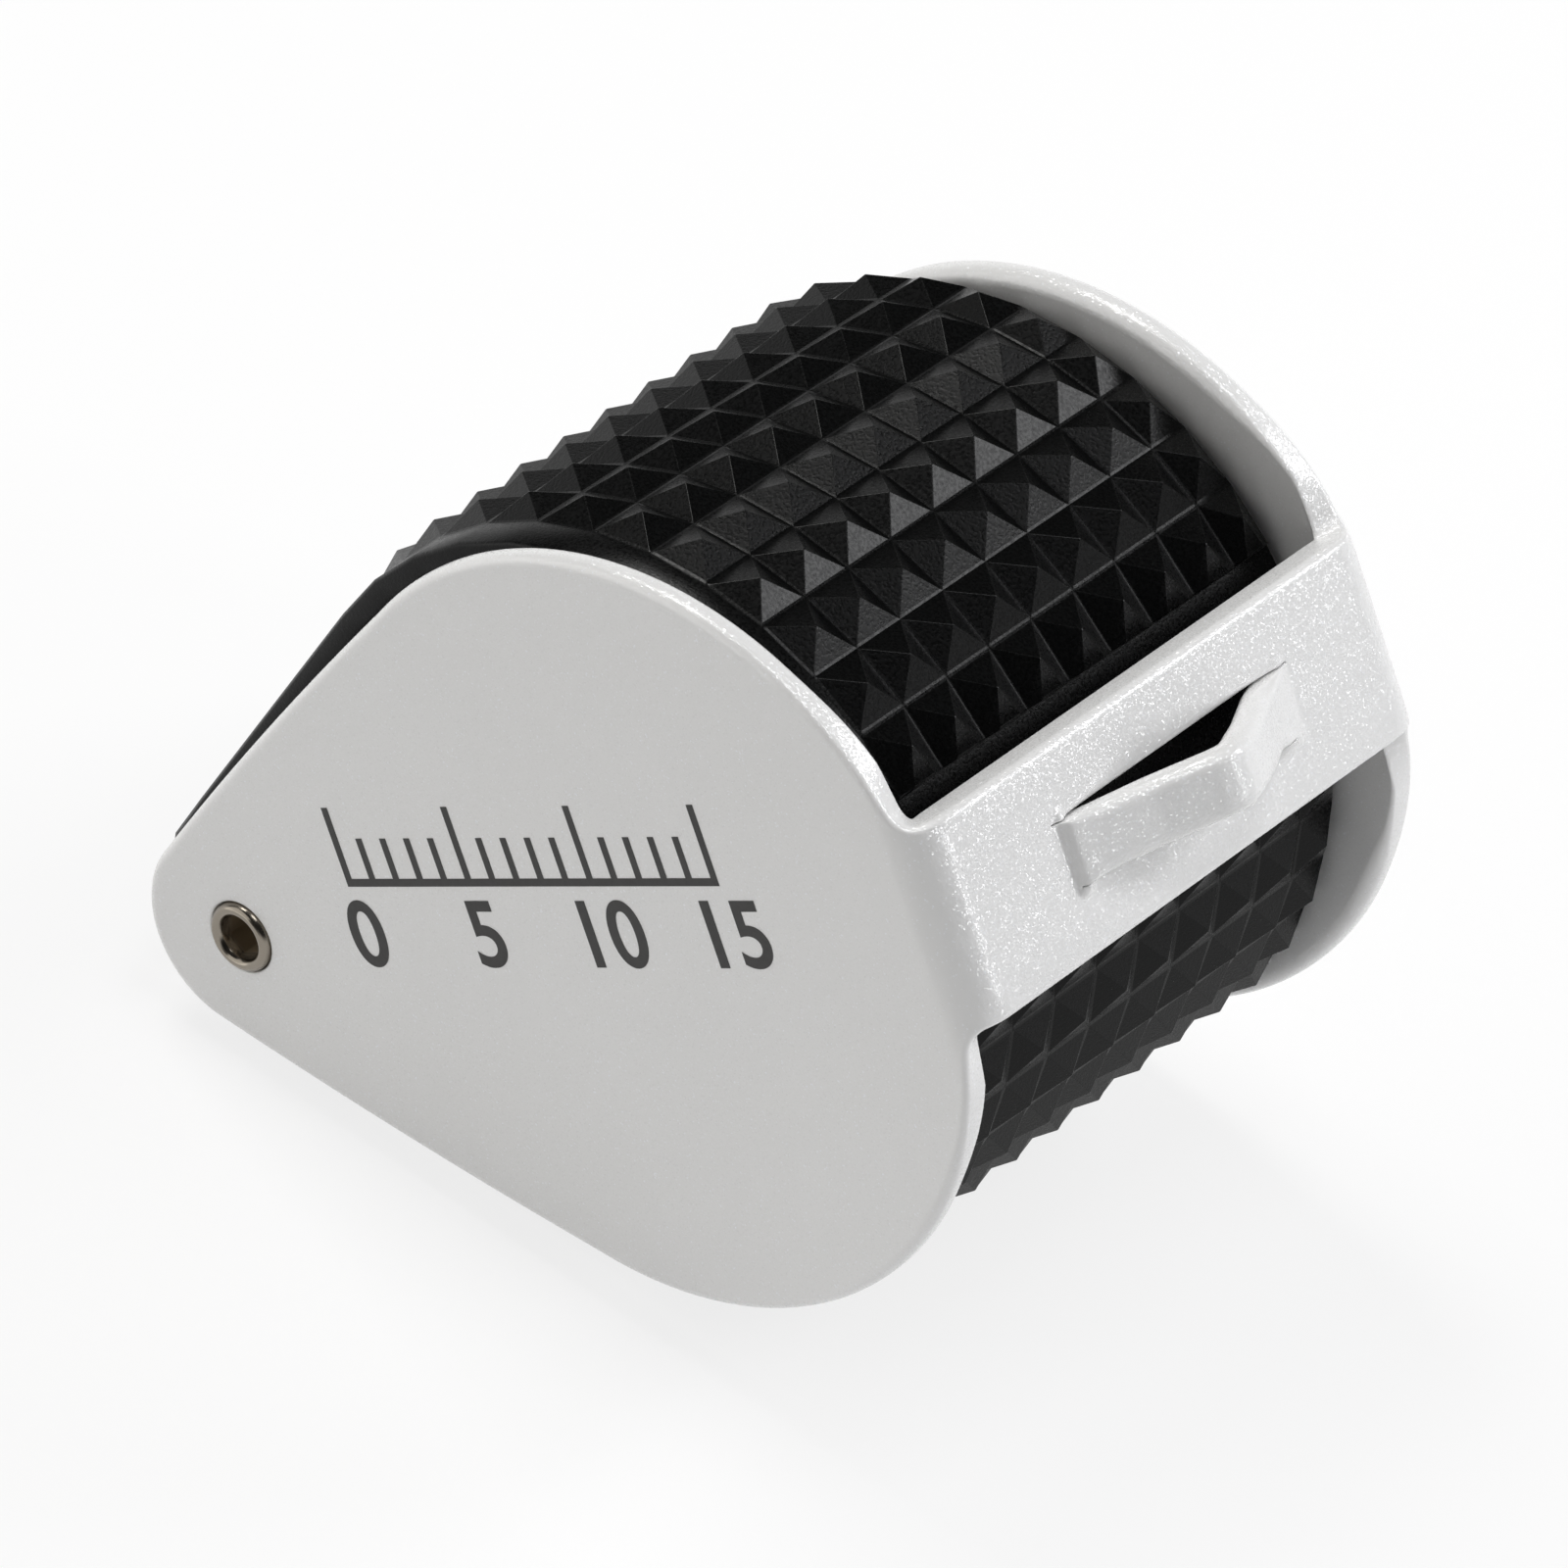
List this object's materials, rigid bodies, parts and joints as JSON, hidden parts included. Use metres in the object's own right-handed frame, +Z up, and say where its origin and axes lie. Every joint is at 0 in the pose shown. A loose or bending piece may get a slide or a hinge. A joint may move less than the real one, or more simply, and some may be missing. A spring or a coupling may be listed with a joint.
{
  "type": "jeweler loupe",
  "caption": "Folding jeweler loupe: triplet magnifier in a rubber-gripped teardrop body that swings out of a pearl-white sheet-metal cover.",
  "frame": {"origin": "on the surface that the loupe stands on, under the middle of its bounding box", "axes": "+Z up with the closed loupe standing on the lower flank of its rubber grip, +X along that flank from the hinge end towards the strap end, +Y along the hinge axis from the screw head to the far plate"},
  "size_m": [0.0316, 0.0212, 0.0256],
  "materials": {
    "pearl_paint": "satin pearl white",
    "nickel": "polished nickel plate",
    "washer_plastic": "smooth",
    "spring_steel": "hardened and bright",
    "bush_bronze": "turned bronze",
    "black_plastic": "moulded, black",
    "black_brass": "turned and blackened, satin",
    "black_rubber": "moulded, fine grain",
    "lens_glass": "polished, coated"
  },
  "bodies": {
    "cover_body": {"cover": "pearl_paint", "pivot_screw": "nickel", "pivot_nut": "nickel", "thrust_washer": "washer_plastic", "disc_spring": "spring_steel"},
    "lens_body": {"front_bush": "bush_bronze", "rear_bush": "bush_bronze", "lens_housing": "black_plastic", "rubber_grip": "black_rubber", "lens_cell": "black_brass", "crown_lens": "lens_glass", "front_flint_lens": "lens_glass", "rear_flint_lens": "lens_glass", "retaining_ring": "black_brass", "front_lock_ring": "black_brass", "rear_lock_ring": "black_brass"}
  },
  "joints": [
    {"name": "lens_swing", "type": "hinge", "parent": "cover_body", "child": "lens_body", "pos_m": [-0.01125, 0.0001, 0.00443], "axis": [0, -1, 0], "continuous": true}
  ]
}
